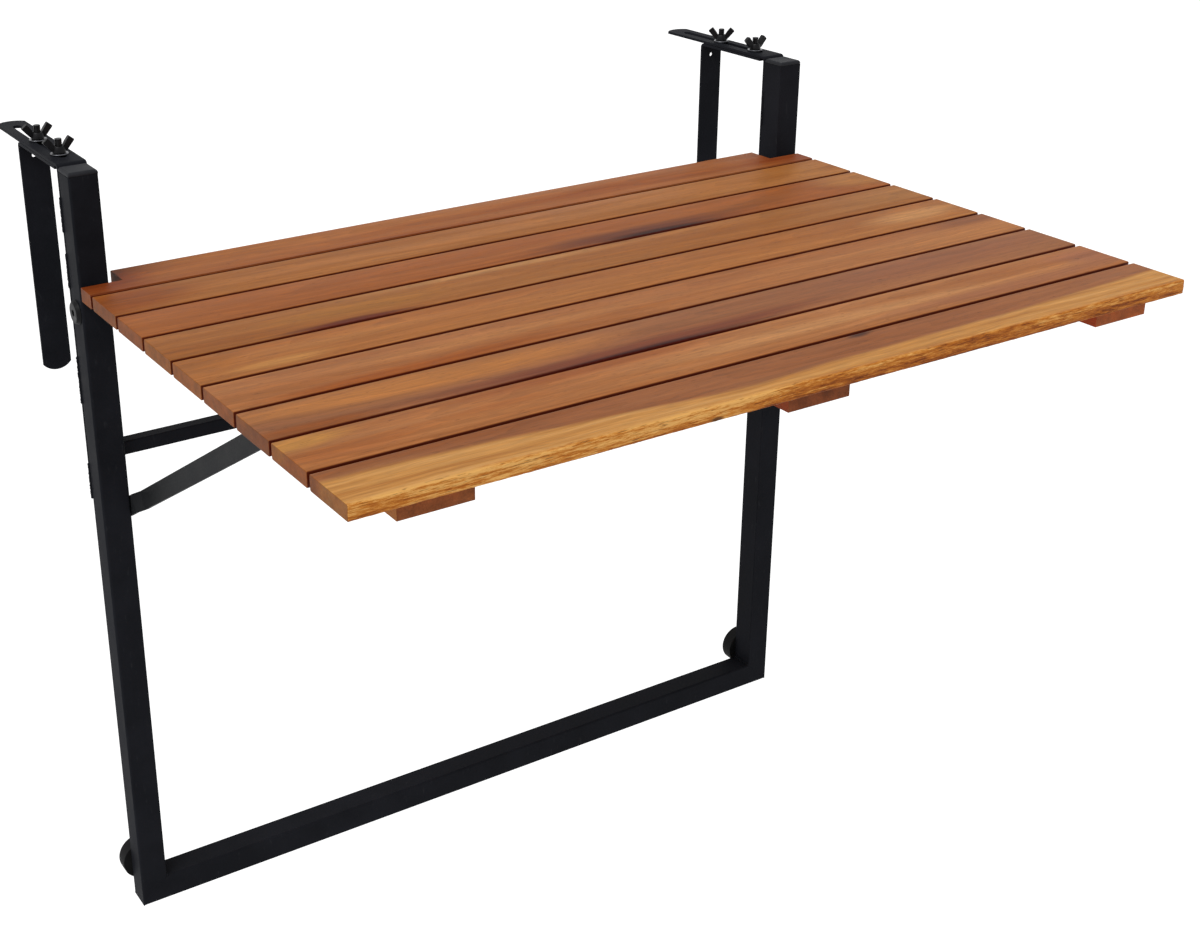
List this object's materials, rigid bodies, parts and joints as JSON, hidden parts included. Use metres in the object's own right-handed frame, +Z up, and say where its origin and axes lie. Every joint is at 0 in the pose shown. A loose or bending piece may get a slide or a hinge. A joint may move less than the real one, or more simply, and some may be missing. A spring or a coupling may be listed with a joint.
{
  "type": "folding balcony table",
  "caption": "Slatted wooden table that hangs on a balcony railing from two adjustable clamp hooks and folds down flat in front of its welded steel frame.",
  "frame": {"origin": "midpoint between the hooks, where the railing's top meets its face on the table's side", "axes": "+X along the slats to the right as seen from the table's side, +Y over the railing away from the table, +Z up; the tabletop reaches towards -Y"},
  "size_m": [0.612, 0.5285, 0.581],
  "materials": {
    "wood": "oiled hardwood with open grain",
    "frame_steel": "satin black powder coat",
    "brace_steel": "satin black powder coat",
    "black_fasteners": "black zinc",
    "zinc": "zinc plated",
    "cap_plastic": "moulded polyethylene",
    "rubber": "moulded rubber"
  },
  "bodies": {
    "frame": {"left_post": "frame_steel", "right_post": "frame_steel", "bottom_bar": "frame_steel", "crossbar": "frame_steel", "left_post_cap": "cap_plastic", "right_post_cap": "cap_plastic", "left_hook_bar": "frame_steel", "right_hook_bar": "frame_steel", "left_bumper_pad": "rubber", "right_bumper_pad": "rubber", "pad_screws": "zinc", "left_pivot_bolt": "black_fasteners", "right_pivot_bolt": "black_fasteners", "pivot_spacers": "black_fasteners", "pivot_nuts": "zinc", "brace_studs": "black_fasteners", "brace_nuts": "zinc"},
    "top": {"slat_1": "wood", "slat_2": "wood", "slat_3": "wood", "slat_4": "wood", "slat_5": "wood", "slat_6": "wood", "slat_7": "wood", "slat_8": "wood", "slat_9": "wood", "left_batten": "wood", "middle_batten": "wood", "right_batten": "wood", "slat_screws": "zinc", "left_hinge_bracket": "frame_steel", "right_hinge_bracket": "frame_steel", "left_brace_catch": "frame_steel", "right_brace_catch": "frame_steel", "bracket_screws": "zinc"},
    "left_brace_arm": {"left_brace": "brace_steel", "left_brace_pin": "zinc"},
    "right_brace_arm": {"right_brace": "brace_steel", "right_brace_pin": "zinc"},
    "left_clamp": {"left_rail_clamp": "frame_steel", "left_clamp_studs": "black_fasteners", "left_clamp_washers": "black_fasteners"},
    "right_clamp": {"right_rail_clamp": "frame_steel", "right_clamp_studs": "black_fasteners", "right_clamp_washers": "black_fasteners"},
    "left_front_nut": {"left_front_wing_nut": "black_fasteners"},
    "left_rear_nut": {"left_rear_wing_nut": "black_fasteners"},
    "right_front_nut": {"right_front_wing_nut": "black_fasteners"},
    "right_rear_nut": {"right_rear_wing_nut": "black_fasteners"}
  },
  "joints": [
    {"name": "top_fold", "type": "hinge", "parent": "frame", "child": "top", "pos_m": [0, -0.012, -0.0925], "axis": [1, 0, 0], "range_deg": [0, 90]},
    {"name": "left_brace_fold", "type": "hinge", "parent": "frame", "child": "left_brace_arm", "pos_m": [-0.278, -0.012, -0.24], "axis": [1, 0, 0], "range_deg": [0, 121.5]},
    {"name": "right_brace_fold", "type": "hinge", "parent": "frame", "child": "right_brace_arm", "pos_m": [0.278, -0.012, -0.24], "axis": [1, 0, 0], "range_deg": [0, 121.5]},
    {"name": "left_clamp_slide", "type": "slide", "parent": "frame", "child": "left_clamp", "axis": [0, 1, 0], "range_m": [-0.003, 0.045]},
    {"name": "right_clamp_slide", "type": "slide", "parent": "frame", "child": "right_clamp", "axis": [0, 1, 0], "range_m": [-0.003, 0.045]},
    {"name": "left_front_nut_turn", "type": "hinge", "parent": "left_clamp", "child": "left_front_nut", "pos_m": [-0.29, 0.0225, 0.01], "axis": [0, 0, 1], "continuous": true},
    {"name": "left_rear_nut_turn", "type": "hinge", "parent": "left_clamp", "child": "left_rear_nut", "pos_m": [-0.29, 0.066, 0.01], "axis": [0, 0, 1], "continuous": true},
    {"name": "right_front_nut_turn", "type": "hinge", "parent": "right_clamp", "child": "right_front_nut", "pos_m": [0.29, 0.0225, 0.01], "axis": [0, 0, 1], "continuous": true},
    {"name": "right_rear_nut_turn", "type": "hinge", "parent": "right_clamp", "child": "right_rear_nut", "pos_m": [0.29, 0.066, 0.01], "axis": [0, 0, 1], "continuous": true}
  ],
  "couplings": [
    {"joint": "left_brace_fold", "follows": "top_fold", "ratio": 1.3464},
    {"joint": "right_brace_fold", "follows": "top_fold", "ratio": 1.3464}
  ]
}
